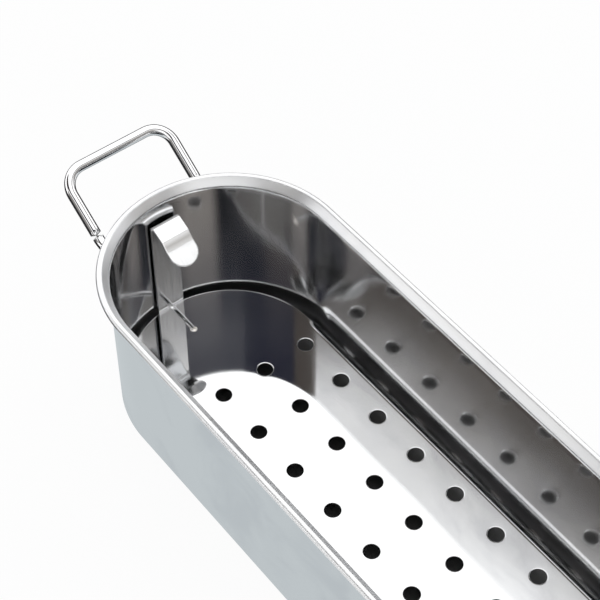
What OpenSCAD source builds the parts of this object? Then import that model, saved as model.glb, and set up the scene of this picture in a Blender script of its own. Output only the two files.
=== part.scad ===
// Fish poacher: a long oval stainless steel pot with a lift-out perforated rack.
// Long axis along X, width along Y, up along +Z, origin at the middle of the underside.
// The far end is at -X and the near end at +X.

/* [Pot] */
// Length inside the pot
inner_length = 456; // [380:1:600]
// Width inside the pot
inner_width = 130; // [110:1:180]
// Height from the underside to the top of the rim
pot_height = 108.6; // [100:0.2:150]
// Thickness of the wall sheet
wall_t = 0.8; // [0.6:0.1:1.2]
// Thickness of the floor sheet
floor_t = 1; // [0.8:0.1:2]

/* [Rim] */
// Diameter of the rolled bead
bead_d = 4.2; // [3.6:0.1:6]
// How far the middle of the bead stands out from the inside of the wall
bead_out = 5.2; // [4.4:0.1:8]
// Lean of the flare between wall and bead, from the upright
flare_angle = 40; // [30:1:50]
// Radius of the bend from wall to flare, at the middle of the sheet
flare_radius = 3; // [2:0.1:4]
// How far round the bead is rolled
curl_sweep = 290; // [240:5:300]

/* [Handles] */
// Diameter of the handle rod
rod_d = 6.5; // [5:0.1:8]
// Distance between the middles of the two legs
handle_width = 70.6; // [56:0.2:90]
// Reach from the outside of the wall to the middle of the crossbar
handle_reach = 45.5; // [38:0.5:60]
// Upward tilt of the loop
handle_tilt = 34; // [10:1:45]
// Depth of the level rod ends below the top of the rim
handle_drop = 22.3; // [16:0.1:34]
// Reach from the outside of the wall to the knee where the rod turns up
knee_reach = 8.6; // [7:0.1:14]
// Bend radius at the knees, at the middle of the rod
knee_radius = 12; // [9:0.5:16]
// Bend radius at the two outer corners, at the middle of the rod
corner_radius = 13; // [9:0.5:18]
// How far a weld spreads round its rod
weld_spread = 2; // [1:0.1:3]
// How thick a weld stands on the wall
weld_rise = 1.2; // [0.6:0.1:2]

/* [Rack] */
// Thickness of the plate
plate_t = 1; // [0.8:0.1:1.5]
// Height of the top of the plate above the underside of the pot
plate_z = 16.4; // [10:0.1:30]
// Gap between the plate and the long walls
side_gap = 5.6; // [2:0.1:10]
// Inside radius of the bend that turns the plate's long edges down
edge_bend = 2; // [1:0.1:3]
// Height of the upright strip below that bend
edge_drop = 1.5; // [0.5:0.1:3]
// Gap between each tab and the end wall
end_gap = 2; // [1:0.1:4]
// Diameter of the holes
hole_d = 9.6; // [5:0.1:12]
// Distance between holes along the rack
hole_pitch_x = 33.6; // [28:0.1:45]
// Distance between holes across the rack
hole_pitch_y = 30.2; // [26:0.1:34]
// Least distance from an outer hole's middle to the edge across, and to the round end along
hole_margin = 10; // [8:0.5:14]
// Length of the slit at each end
slit_length = 21.6; // [14:0.1:24]
// Width of the slit
slit_width = 2; // [1:0.1:3]
// Diameter of the round weld at the end of the slit
button_d = 4.4; // [3:0.1:6]
// How high the round weld stands on the plate
button_rise = 0.7; // [0.4:0.1:1]
// How far its middle stands beyond the slit's round end
button_out = 0.9; // [0.5:0.1:1.5]

/* [Tabs] */
// Width of the strip
tab_w = 18.4; // [12:0.2:26]
// Thickness of the strip
tab_t = 1.2; // [0.8:0.1:1.6]
// Height of the top of the tab above the plate
tab_rise = 76; // [50:0.5:80]
// Inside radius of the bend from foot to riser and of the creases
tab_bend = 1.2; // [0.8:0.1:2]
// Inside radius of the bend over the top
lip_bend = 1.6; // [0.8:0.1:4]
// Gap between the riser and the plate's edge
tab_gap = 0.5; // [0.3:0.1:1]
// Length of the foot under the plate
tab_foot = 24; // [15:0.5:26]
// Slopes below level of the lip's first, middle and last flats
lip_slopes = [25, 46, 36];
// Length of the lip's first flat
lip_first = 8.3; // [5:0.1:12]
// Length of the lip's middle flat
lip_middle = 5.9; // [4:0.1:10]
// Length of the lip's last flat, up to its round end
lip_last = 3; // [1:0.1:6]
// How much wider than half the strip the arc of its round end is
lip_ease = 0.1; // [0.05:0.05:0.5]

/* [Feet] */
// Width of a foot
foot_w = 12; // [8:0.5:14]
// Length of its top flange and of its toe
foot_run = 9; // [6:0.5:12]
// Thickness of a foot
foot_t = 1; // [0.8:0.1:1.5]
// Inside radius of its bends
foot_bend = 1.2; // [0.8:0.1:2]
// Gap between the toe and the floor of the pot
seat_gap = 0.3; // [0.2:0.1:0.5]

/* [Hidden] */
$fn = 96;
// Most degrees that one flat of a bend takes
bend_step = 12;
// How far a cutter reaches past what it cuts
over = 1;
// How far a bent edge laps into the flat it belongs to
edge_lap = 0.5;
// Sides of the rod, and steps round each of its bends
rod_sides = 20;
knee_steps = 5;
corner_steps = 9;
// Slopes round the dome of a button
dome_steps = 4;

steel = "silver";
rod_steel = "gainsboro";
rack_steel = "lightsteelblue";
weld_steel = "gray";

// Pot
inner_r = inner_width / 2;
outer_r = inner_r + wall_t;
pot_half = (inner_length - inner_width) / 2;
end_reach = pot_half + outer_r;

// Rim, on the middle of the sheet
bead_r = inner_r + bead_out;
bead_z = pot_height - bead_d / 2;
curl_r = (bead_d - wall_t) / 2;
sheet_r = inner_r + wall_t / 2;
flare_top_r = bead_r - curl_r * cos(flare_angle);
flare_top_z = bead_z + curl_r * sin(flare_angle);
flare_low_r = sheet_r + flare_radius * (1 - cos(flare_angle));
flare_run = (flare_top_r - flare_low_r) / sin(flare_angle);
flare_z = flare_top_z - flare_run * cos(flare_angle) - flare_radius * sin(flare_angle);

// Handle, from the wall outward
handle_z = pot_height - handle_drop;
leg_y = handle_width / 2;
knee_cut = knee_radius * tan(handle_tilt / 2);
inset = outer_r - sqrt(outer_r * outer_r - leg_y * leg_y) + rod_d;
leg_way = [cos(handle_tilt), 0, sin(handle_tilt)];
loop_up = [-sin(handle_tilt), 0, cos(handle_tilt)];
knee = [end_reach + knee_reach, leg_y, handle_z];
corner = knee + (handle_reach - knee_reach) / cos(handle_tilt) * leg_way;

// Rack
rack_r = inner_r - side_gap;
chord_x = sqrt(rack_r * rack_r - tab_w * tab_w / 4);
rack_half = pot_half + inner_r - end_gap - tab_t - tab_gap - chord_x;
plate_low = plate_z - plate_t;
plate_end = rack_half + chord_x;
edge_y = rack_r - plate_t - edge_bend;
rows = floor(2 * (rack_half - hole_margin) / hole_pitch_x) + 1;
columns = floor(2 * (rack_r - hole_margin) / hole_pitch_y) + 1;
button_x = plate_end - slit_length - button_out;

// Tab
riser_run = plate_t + tab_rise - tab_bend - lip_bend - tab_t;

// Feet stand midway between the holes of the outer rows
foot_x = (rows / 2 - 1) * hole_pitch_x;
foot_y = (columns / 2 - 1) * hole_pitch_y;
foot_drop = plate_low - floor_t - seat_gap;

// A flat long oval of end radius r, its ends' centres half apart from the middle
module oval(r, half) {
    square([2 * half, 2 * r], center = true);
    for (side = [-1, 1]) translate([side * half, 0]) circle(r);
}

// Carries a section drawn as radius and height once round the pot
module around_pot() {
    for (turn = [0, 180]) rotate([0, 0, turn]) {
        translate([pot_half, 0, 0]) rotate([0, 0, -90]) rotate_extrude(angle = 180) children();
        translate([-pot_half, 0, 0]) rotate([90, 0, 90]) linear_extrude(2 * pot_half) children();
    }
}

// Left normal of a heading
function left(heading) = [-sin(heading), cos(heading)];

// Follows a sheet from at = [x, y, heading] along steps of [run, turn, inside radius].
// The list it gives holds a point and heading on the sheet's left face; left turns are above 0.
function sheet_path(steps, thick, at, i = 0) =
    i == len(steps) ? [at] :
    let (
        run = steps[i][0],
        turn = steps[i][1],
        face_r = turn > 0 ? steps[i][2] : -(steps[i][2] + thick),
        way = [cos(at[2]), sin(at[2])],
        start = [at[0], at[1]] + run * way,
        middle = start + face_r * left(at[2]),
        count = ceil(abs(turn) / bend_step),
        bend = [for (k = [1 : 1 : count - 1])
            let (heading = at[2] + turn * k / count, spot = middle - face_r * left(heading))
            [spot[0], spot[1], heading]],
        last = turn == 0 ? start : middle - face_r * left(at[2] + turn)
    )
    concat(
        [at],
        run > 0 && turn != 0 ? [[start[0], start[1], at[2]]] : [],
        bend,
        sheet_path(steps, thick, [last[0], last[1], at[2] + turn], i + 1)
    );

// The section of a bent sheet, from its path
module sheet_section(path, thick) {
    face = [for (spot = path) [spot[0], spot[1]]];
    back = [for (k = [len(path) - 1 : -1 : 0]) face[k] - thick * left(path[k][2])];
    polygon(concat(face, back));
}

// The wall from floor to rim: upright, flare, then the rolled bead
module wall_section() {
    sheet_section(sheet_path([
        [flare_z - floor_t, -flare_angle, flare_radius - wall_t / 2],
        [flare_run, -curl_sweep, bead_d / 2 - wall_t]
    ], wall_t, [inner_r, floor_t, 90]), wall_t);
}

module wall_band() {
    color(steel) around_pot() wall_section();
}

module floor_sheet() {
    color(steel) {
        linear_extrude(floor_t) oval(outer_r - floor_t, pot_half);
        around_pot() intersection() {
            translate([outer_r - floor_t, floor_t]) circle(floor_t);
            translate([outer_r - 2 * floor_t, 0]) square([2 * floor_t, floor_t]);
        }
    }
}

// Solid that fills the pot, grown outward by a distance
module pot_block(grow) {
    linear_extrude(pot_height) oval(outer_r + grow, pot_half);
}

// Half the handle's path as [point, direction, up], from the wall to the end of its corner
half_path = concat(
    [[[end_reach - inset, leg_y, handle_z], [1, 0, 0], [0, 0, 1]]],
    [for (k = [0 : knee_steps])
        let (
            turn = handle_tilt * k / knee_steps,
            way = [cos(turn), 0, sin(turn)],
            up = [-sin(turn), 0, cos(turn)]
        )
        [knee - [knee_cut, 0, 0] + knee_radius * ([0, 0, 1] - up), way, up]],
    [for (k = [0 : corner_steps])
        let (
            turn = 90 * k / corner_steps,
            across = [0, -1, 0],
            way = cos(turn) * leg_way + sin(turn) * across
        )
        [corner + corner_radius * ((sin(turn) - 1) * leg_way + (1 - cos(turn)) * across), way, loop_up]]
);

// The same path on to the other end
rod_path = concat(half_path, [for (k = [len(half_path) - 1 : -1 : 0])
    let (spot = half_path[k][0], way = half_path[k][1])
    [[spot[0], -spot[1], spot[2]], [-way[0], way[1], -way[2]], half_path[k][2]]]);

// A round rod along a path
module bent_rod(path) {
    last = len(path) - 1;
    points = [for (place = path, side = [0 : rod_sides - 1])
        let (turn = 360 * side / rod_sides)
        place[0] + rod_d / 2 * (cos(turn) * place[2] + sin(turn) * cross(place[1], place[2]))];
    walls = [for (k = [0 : last - 1], side = [0 : rod_sides - 1])
        let (next = (side + 1) % rod_sides, low = k * rod_sides, high = low + rod_sides)
        [low + side, high + side, high + next, low + next]];
    start_cap = [for (side = [0 : rod_sides - 1]) side];
    end_cap = [for (side = [rod_sides - 1 : -1 : 0]) last * rod_sides + side];
    polyhedron(points, concat([start_cap, end_cap], walls));
}

module handle() {
    color(rod_steel) difference() {
        bent_rod(rod_path);
        pot_block(0);
    }
}

module near_handle() {
    handle();
}

module far_handle() {
    mirror([1, 0, 0]) handle();
}

// A ring of weld on the wall round one rod end
module weld_ring() {
    intersection() {
        difference() {
            pot_block(weld_rise);
            pot_block(0);
        }
        translate([end_reach - inset, leg_y, handle_z]) rotate([0, 90, 0]) difference() {
            cylinder(d = rod_d + 2 * weld_spread, h = 2 * inset);
            cylinder(d = rod_d, h = 2 * inset);
        }
    }
}

module handle_welds() {
    color(weld_steel) for (end = [0, 1], side = [0, 1])
        mirror([end, 0, 0]) mirror([0, side, 0]) weld_ring();
}

// The slit with its round inner end, cut inward from a point near the plate's end
module slit(low, high, beyond) {
    translate([plate_end - slit_length + slit_width / 2, 0, low]) {
        cylinder(d = slit_width, h = high - low);
        translate([0, -slit_width / 2, 0])
            cube([slit_length - slit_width / 2 + beyond, slit_width, high - low]);
    }
}

// The plate's outline: an oval whose straight sides stop where they bend down
module plate_outline() {
    difference() {
        oval(rack_r, rack_half);
        for (side = [0, 1]) mirror([0, side]) translate([-rack_half, edge_y]) square([2 * rack_half, rack_r]);
    }
}

// One long edge of the plate, bent down
module plate_edge() {
    translate([-rack_half, 0, 0]) rotate([90, 0, 90]) linear_extrude(2 * rack_half)
        sheet_section(sheet_path([
            [edge_lap, -90, edge_bend],
            [edge_drop, 0, 0]
        ], plate_t, [edge_y - edge_lap, plate_z, 0]), plate_t);
}

module rack_plate() {
    color(rack_steel) difference() {
        union() {
            translate([0, 0, plate_low]) linear_extrude(plate_t) plate_outline();
            for (side = [0, 1]) mirror([0, side, 0]) plate_edge();
        }
        for (row = [0 : rows - 1], column = [0 : columns - 1])
            translate([
                (row - (rows - 1) / 2) * hole_pitch_x,
                (column - (columns - 1) / 2) * hole_pitch_y,
                plate_low - over
            ]) cylinder(d = hole_d, h = plate_t + 2 * over);
        for (end = [0, 1]) mirror([end, 0, 0]) {
            slit(plate_low - over, plate_z + over, over);
            translate([plate_end, -tab_w / 2, plate_low - over])
                cube([rack_r, tab_w, plate_t + 2 * over]);
        }
    }
}

// Cuts the end of a flat, lying along +X with its top at 0, to an arc round the origin
module round_end_cut(radius, thick) {
    translate([0, 0, -2 * thick]) difference() {
        translate([0, -2 * radius, 0]) cube([2 * radius, 4 * radius, 3 * thick]);
        cylinder(r = radius, h = 3 * thick);
    }
}

// The near tab: slotted foot under the plate, riser, and the lip with its round end
module tab() {
    path = sheet_path([
        [tab_foot, 90, tab_bend],
        [riser_run, 90 + lip_slopes[0], lip_bend],
        [lip_first, lip_slopes[1] - lip_slopes[0], tab_bend],
        [lip_middle, lip_slopes[2] - lip_slopes[1], tab_bend],
        [lip_last + tab_w / 2, 0, 0]
    ], tab_t, [plate_end + tab_gap - tab_bend - tab_foot, plate_low, 0]);
    tip = path[len(path) - 1];
    tip_r = tab_w / 2 + lip_ease;
    back = tip_r * [cos(tip[2]), sin(tip[2])];
    color(rack_steel) difference() {
        translate([0, tab_w / 2, 0]) rotate([90, 0, 0]) linear_extrude(tab_w) sheet_section(path, tab_t);
        slit(plate_low - 2 * tab_t, plate_low + tab_t, -2 * tab_bend);
        translate([tip[0] - back[0], 0, tip[1] - back[1]]) rotate([0, -tip[2], 0])
            round_end_cut(tip_r, tab_t);
    }
}

module near_tab() {
    tab();
}

module far_tab() {
    mirror([1, 0, 0]) tab();
}

// A low round dome of weld
module button() {
    rotate_extrude() polygon(concat([[0, 0]], [for (k = [0 : dome_steps])
        let (turn = 90 * k / dome_steps)
        [k == dome_steps ? 0 : button_d / 2 * cos(turn), button_rise * sin(turn)]]));
}

module tab_welds() {
    color(weld_steel) for (end = [0, 1]) mirror([end, 0, 0]) difference() {
        translate([button_x, 0, plate_z]) button();
        slit(plate_low, plate_z + button_rise + over, 0);
    }
}

// A foot bent from strip: toe over the floor, web, and flange under the plate
module foot() {
    flat = foot_run - foot_t - foot_bend;
    path = sheet_path([
        [flat, 90, foot_bend],
        [foot_drop - 2 * (foot_t + foot_bend), 90, foot_bend],
        [flat, 0, 0]
    ], foot_t, [foot_x - foot_run / 2, floor_t + seat_gap + foot_t, 0]);
    color(rack_steel) translate([0, foot_y + foot_w / 2, 0]) rotate([90, 0, 0])
        linear_extrude(foot_w) sheet_section(path, foot_t);
}

module near_left_foot() {
    foot();
}

module near_right_foot() {
    mirror([0, 1, 0]) foot();
}

module far_left_foot() {
    mirror([1, 0, 0]) foot();
}

module far_right_foot() {
    mirror([1, 0, 0]) mirror([0, 1, 0]) foot();
}

wall_band();
floor_sheet();
far_handle();
near_handle();
handle_welds();
rack_plate();
far_tab();
near_tab();
tab_welds();
far_left_foot();
far_right_foot();
near_left_foot();
near_right_foot();
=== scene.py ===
"""Dresses the packed fish poacher: a polished oval pot, bent rod handles and a lift-out perforated rack.

Every surface is a grid worked out from a few driving sizes, and stands where the packed model has its piece.
Lengths are in metres, +X runs along the pot, +Z out of its mouth, and the origin is under its middle.
"""

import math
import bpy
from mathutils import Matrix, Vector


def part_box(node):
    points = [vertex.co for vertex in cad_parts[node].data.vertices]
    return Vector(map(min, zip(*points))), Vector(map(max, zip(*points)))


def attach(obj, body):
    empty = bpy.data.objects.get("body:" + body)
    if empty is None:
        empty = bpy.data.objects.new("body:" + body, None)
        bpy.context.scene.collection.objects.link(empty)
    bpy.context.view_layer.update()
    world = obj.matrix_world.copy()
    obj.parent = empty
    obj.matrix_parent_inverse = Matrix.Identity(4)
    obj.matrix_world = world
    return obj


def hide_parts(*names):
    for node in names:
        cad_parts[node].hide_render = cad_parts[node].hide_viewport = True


bl_info = {
    "name": "Fish Poacher",
    "version": (1, 0, 0),
    "blender": (4, 5, 0),
    "location": "View3D > Sidebar > Poacher",
    "description": "Builds a polished steel fish poacher with its rack, handles and studio",
    "category": "Object",
}

import bmesh
import bpy
import numpy as np
from mathutils import Matrix, Vector

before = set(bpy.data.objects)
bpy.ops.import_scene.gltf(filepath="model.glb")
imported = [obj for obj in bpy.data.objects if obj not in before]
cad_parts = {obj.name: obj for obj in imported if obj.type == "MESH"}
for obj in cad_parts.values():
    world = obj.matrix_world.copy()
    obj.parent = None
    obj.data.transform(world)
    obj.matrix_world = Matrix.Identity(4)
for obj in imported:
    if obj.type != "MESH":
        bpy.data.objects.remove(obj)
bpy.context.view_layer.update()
FLOOR_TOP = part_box("floor_sheet")[1]
WALL_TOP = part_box("wall_band")[1]
PLATE_LOW, PLATE_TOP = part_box("rack_plate")
TAB_LOW, TAB_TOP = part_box("near_tab")
FOOT_LOW, FOOT_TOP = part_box("near_right_foot")


# Properties that a user would change


def length(name, text, value):
    """A length in metres."""
    return bpy.props.FloatProperty(
        name=name, description=text, default=value, min=0.0, precision=5, subtype="DISTANCE", unit="LENGTH"
    )


def angle(name, text, degrees):
    """An angle, given in degrees and kept in radians."""
    return bpy.props.FloatProperty(
        name=name, description=text, default=math.radians(degrees), subtype="ANGLE", unit="ROTATION"
    )


def share(name, text, value, high=1.0):
    """A plain number from 0 to high."""
    return bpy.props.FloatProperty(name=name, description=text, default=value, min=0.0, max=high)


def colour(name, text, value):
    """A colour without alpha."""
    return bpy.props.FloatVectorProperty(
        name=name, description=text, default=value, size=3, min=0.0, max=1.0, subtype="COLOR"
    )


class PoacherPot(bpy.types.PropertyGroup):
    """Sizes of the wall, the rim and the floor."""

    outer_r: length("Outer radius", "Radius of the round ends, outside the wall", FLOOR_TOP.y)
    half: length("Half length", "From the middle to the centre of a round end", FLOOR_TOP.x - FLOOR_TOP.y)
    height: length("Height", "From the underside to the top of the rim", WALL_TOP.z)
    wall_t: length("Wall", "Thickness of the wall sheet", 0.0008)
    floor_t: length("Floor", "Thickness of the floor sheet", FLOOR_TOP.z)
    corner_r: length("Corner", "Outside radius of the corner from wall to floor", 0.007)
    bead_d: length("Bead", "Diameter of the rolled bead", 0.0042)
    bead_r: length("Bead radius", "Radius of the round ends at the bead's middle", WALL_TOP.y - 0.0021)
    flare_angle: angle("Flare", "Lean of the flare from the upright", 40)
    flare_r: length("Flare bend", "Bend from wall to flare at the middle of the sheet", 0.003)
    curl: angle("Curl", "How far round the bead is rolled", 290)
    ripple: length("Ripple", "How far the rolled wall strays from true", 0.000005)


class PoacherHandles(bpy.types.PropertyGroup):
    """Sizes of the bent rod handles and their welds."""

    rod_d: length("Rod", "Diameter of the rod", 0.0065)
    width: length("Width", "Distance between the middles of the legs", 0.0706)
    reach: length("Reach", "From the outside of the wall to the middle of the crossbar", 0.0455)
    tilt: angle("Tilt", "Upward tilt of the loop", 34)
    drop: length("Drop", "Depth of the level rod ends below the rim", 0.0223)
    knee_reach: length("Knee reach", "From the outside of the wall to the knee", 0.0086)
    knee_r: length("Knee bend", "Bend radius of the knee", 0.012)
    corner_r: length("Corner bend", "Bend radius of the outer corners", 0.013)
    weld_spread: length("Weld spread", "How far a weld spreads round its rod", 0.002)
    weld_rise: length("Weld rise", "How thick a weld stands on the wall", 0.0012)


class PoacherRack(bpy.types.PropertyGroup):
    """Sizes of the perforated plate and its feet."""

    plate_r: length("Plate radius", "Half the width of the plate", PLATE_TOP.y)
    plate_end: length("Plate end", "From the middle to the flat end of the plate", PLATE_TOP.x)
    plate_z: length("Plate height", "Top of the plate above the underside", PLATE_TOP.z)
    plate_t: length("Plate", "Thickness of the plate", 0.001)
    edge_bend: length("Edge bend", "Inside radius of the bend along the long edges", 0.002)
    edge_depth: length("Edge depth", "Height of the bent long edges", PLATE_TOP.z - PLATE_LOW.z)
    edge_fade: length("Edge fade", "Run in which the bend fades out at the round ends", 0.009)
    hole_d: length("Holes", "Diameter of the holes", 0.0096)
    pitch_x: length("Pitch along", "Distance between holes along the rack", 0.0336)
    pitch_y: length("Pitch across", "Distance between holes across the rack", 0.0302)
    rows: bpy.props.IntProperty(name="Rows", description="Holes along the rack", default=10, min=2)
    columns: bpy.props.IntProperty(name="Columns", description="Holes across the rack", default=4, min=2)
    slit_length: length("Slit", "Length of the slit at each end", 0.0216)
    slit_width: length("Slit width", "Width of the slit", 0.002)
    edge: length("Edge", "Rounding of the sheet's cut edges", 0.00025)
    sag: length("Rollover", "How far punching pulls the sheet down at a hole", 0.000012)
    wave: length("Wave", "How far the sheet strays from flat", 0.00003)
    foot_t: length("Foot", "Thickness of a foot", 0.001)
    foot_bend: length("Foot bend", "Inside radius of a foot's bends", 0.0012)


class PoacherTabs(bpy.types.PropertyGroup):
    """Sizes of the upright lifting tabs."""

    width: length("Width", "Width of the strip", 2 * TAB_TOP.y)
    thick: length("Thickness", "Thickness of the strip", 0.0012)
    bend: length("Bend", "Inside radius of the bend over the foot", 0.0012)
    crease: length("Crease", "Inside radius of the lip's two creases", 0.0005)
    lip_bend: length("Lip bend", "Inside radius of the bend over the top", 0.0016)
    gap: length("Gap", "Between the riser and the plate's end", 0.0005)
    foot: length("Foot", "Length of the foot under the plate", 0.024)
    slope_first: angle("First slope", "Slope of the lip's first flat below level", 25)
    slope_middle: angle("Middle slope", "Slope of the lip's middle flat below level", 46)
    slope_last: angle("Last slope", "Slope of the lip's last flat below level", 33)
    first: length("First flat", "Length of the lip's first flat", 0.0083)
    middle: length("Middle flat", "Length of the lip's middle flat", 0.0059)
    last: length("Last flat", "Length of the lip's last flat up to its round end", 0.003)
    button_d: length("Button", "Diameter of the round weld at the end of the slit", 0.0044)
    button_rise: length("Button rise", "Height of the round weld", 0.0007)
    button_out: length("Button place", "From the slit's round end to the weld's middle", 0.0009)


class PoacherFinish(bpy.types.PropertyGroup):
    """Colours of the polished sheet, rod and welds."""

    sheet: colour("Sheet", "Polished sheet", (0.86, 0.865, 0.87))
    sheet_dull: colour("Wiped sheet", "Sheet where polish has left a film", (0.78, 0.785, 0.80))
    # Both floor colours are kept dark as painted shade. They stand in for the shade under the rack that shows
    # through its holes; the wiped patches between them are real film.
    floor: colour("Floor", "Satin floor of the pot", (0.25, 0.25, 0.25))
    shaded_floor_film: colour("Wiped floor", "Floor where heat and use have dulled it", (0.21, 0.207, 0.204))
    rod: colour("Rod", "Polished rod", (0.88, 0.88, 0.885))
    weld: colour("Weld", "Dressed weld", (0.80, 0.79, 0.78))
    heat: colour("Heat tint", "Straw tint beside a weld", (0.74, 0.66, 0.54))


class PoacherStudio(bpy.types.PropertyGroup):
    """The camera's place and the light."""

    turn: angle("Turn", "Camera's turn round the object", 51.654)
    rise: angle("Rise", "Camera's rise above level", 49.996)
    roll: angle("Roll", "Camera's roll", 0.249)
    distance: length("Distance", "From the camera to the point it looks at", 0.9365)
    look: bpy.props.FloatVectorProperty(
        name="Look at", description="Point in the middle of the picture", size=3, subtype="TRANSLATION",
        default=(-0.1211, 0.0172, 0.1065),
    )
    lens: bpy.props.FloatProperty(
        name="Lens", description="Focal length in millimetres", default=104.15, min=1.0
    )
    box_light: share("Overhead light", "Strength of the broad light overhead", 1.32, 4.0)
    room_light: share("Room light", "Strength of the pale room below the dark band", 1.45, 4.0)
    box_edge: angle("Overhead edge", "Where the overhead light ends, from straight up", 38)
    box_side: share("Overhead side", "Where it ends to the left, as the slope of that edge", 0.514)
    box_gap: share("Overhead gap", "Where a narrow dark gap crosses it, as the slope of the gap", 0.4695)
    side_strip: colour("Side strip", "Brown strip past the overhead light's left edge", (0.23, 0.20, 0.175))
    band_edge: angle("Band edge", "Where the dark band round the overhead light ends, from straight up", 48)
    band_rim: colour("Band rim", "The dark band beside the overhead light", (0.021, 0.022, 0.036))
    band_left: colour("Band left", "The dark band to the camera's left", (0.070, 0.060, 0.054))
    band_middle: colour("Band middle", "The dark band behind the camera", (0.008, 0.008, 0.010))
    band_right: colour("Band right", "The dark band behind the camera's right", (0.24, 0.22, 0.205))
    band_beside: colour("Band beside", "The dark band at the camera's right", (0.085, 0.077, 0.071))
    low_left: colour("Low left", "The room low down behind the camera's left", (0.28, 0.27, 0.26))
    low_right: colour("Low right", "The room low down to the camera's right", (0.32, 0.30, 0.28))
    horizon: colour("Horizon", "The dark screens that stand low round the object", (0.045, 0.045, 0.048))
    floor: colour("Floor", "The plain floor", (0.80, 0.81, 0.82))
    floor_near: colour("Floor near", "Floor beside the pot, as polished steel shows it", (0.58, 0.625, 0.645))
    floor_side: colour("Floor beside", "Floor farther out, as steel shows it", (1, 1, 1))
    floor_far: colour("Floor far", "Floor beyond the ends, as steel shows it", (0.03, 0.03, 0.032))


GROUPS = {
    "poacher_pot": PoacherPot,
    "poacher_handles": PoacherHandles,
    "poacher_rack": PoacherRack,
    "poacher_tabs": PoacherTabs,
    "poacher_finish": PoacherFinish,
    "poacher_studio": PoacherStudio,
}


# Meshes from grids

# Points closer than this become one
MERGE_GAP = 1e-6
# Decimals to which grid lengths are rounded, so that equal ones match
DECIMALS = 8


def grid_faces(rows, columns):
    """Quads of a grid whose point (i, j) has number i * columns + j."""
    i, j = np.meshgrid(np.arange(rows - 1), np.arange(columns - 1), indexing="ij")
    corner = (i * columns + j).ravel()
    return np.stack([corner, corner + 1, corner + columns + 1, corner + columns], 1)


def signed_volume(points, faces):
    """Six times the volume that the quads close in: the sum of a . (b x c) over both halves of each quad."""
    a, b, c, d = (points[faces[:, k]] for k in range(4))
    return np.einsum("ij,ij->", a, np.cross(b, c)) + np.einsum("ij,ij->", a, np.cross(c, d))


def make_piece(name, points, faces, uv=None):
    """A closed smooth mesh piece, faces outward, equal points merged. uv holds a pair for each point."""
    if signed_volume(points, faces) < 0:
        faces = faces[:, ::-1]
    mesh = bpy.data.meshes.new(name)
    mesh.from_pydata(points.tolist(), [], faces.tolist())
    if uv is not None:
        layer = mesh.uv_layers.new(name="grain")
        layer.data.foreach_set("uv", uv[faces].astype(np.float32).ravel())
    shell = bmesh.new()
    shell.from_mesh(mesh)
    bmesh.ops.remove_doubles(shell, verts=shell.verts, dist=MERGE_GAP)
    shell.to_mesh(mesh)
    shell.free()
    mesh.shade_smooth()
    piece = bpy.data.objects.new(name, mesh)
    bpy.context.scene.collection.objects.link(piece)
    return piece


def place(piece, body, slot, material, *nodes):
    """Gives a piece its material and its body, and hides the packed nodes that it stands for."""
    piece.data.materials.append(material)
    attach(piece, body)
    if nodes:
        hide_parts(*nodes)
    return piece


def join_grids(parts):
    """One list of points, faces and uv from several (points, faces, uv)."""
    counts = np.cumsum([0] + [len(part[0]) for part in parts[:-1]])
    points = np.concatenate([part[0] for part in parts])
    faces = np.concatenate([part[1] + start for part, start in zip(parts, counts)])
    uv = np.concatenate([part[2] for part in parts])
    return points, faces, uv


def smooth(low, high, value):
    """Goes from 0 at low to 1 at high as 3 t^2 - 2 t^3."""
    t = np.clip((value - low) / (high - low), 0, 1)
    return t * t * (3 - 2 * t)


# Bent sheet

# Turn between grid rows on a bend, and length between them on a run
ARC_STEP = math.radians(6)
RUN_STEP = 0.004
# Steps in which a bent mid-line is summed up
FINE_STEPS = 20000


def bent_knots(steps, thick):
    """Lengths and headings where a bent sheet's mid-line changes, for steps of (run, turn, inside radius)."""
    lengths, headings = [0.0], [0.0]
    for run, turn, inside in steps:
        lengths.append(lengths[-1] + run)
        headings.append(headings[-1])
        if turn:
            lengths.append(lengths[-1] + abs(turn) * (inside + thick / 2))
            headings.append(headings[-1] + turn)
    return np.array(lengths), np.array(headings)


def bent_samples(steps, thick, run_step=RUN_STEP):
    """Lengths along the mid-line for the grid's rows: evenly on each run, and by equal turns on each bend."""
    lengths, headings = bent_knots(steps, thick)
    spans = np.diff(lengths)
    turns = np.abs(np.diff(headings))
    counts = np.maximum(1, np.ceil(np.where(turns > 0, turns / ARC_STEP, spans / run_step))).astype(int)
    rows = [np.linspace(lengths[k], lengths[k + 1], counts[k] + 1) for k in range(len(spans)) if spans[k] > 0]
    return np.unique(np.round(np.concatenate(rows), DECIMALS))


def bent_line(steps, thick, start, at):
    """Point and left normal of the mid-line at the lengths in at. The point is the integral of
    (cos h, sin h) ds, where the heading h starts level, stays on a run and turns evenly on a bend."""
    lengths, headings = bent_knots(steps, thick)
    fine = np.linspace(0, lengths[-1], FINE_STEPS + 1)
    middle = (fine[:-1] + fine[1:]) / 2
    h = np.interp(middle, lengths, headings)
    step = fine[1] - fine[0]
    x = start[0] + np.concatenate([[0], np.cumsum(np.cos(h) * step)])
    z = start[1] + np.concatenate([[0], np.cumsum(np.sin(h) * step)])
    turned = np.interp(at, lengths, headings)
    return np.interp(at, fine, x), np.interp(at, fine, z), -np.sin(turned), np.cos(turned)


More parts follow.
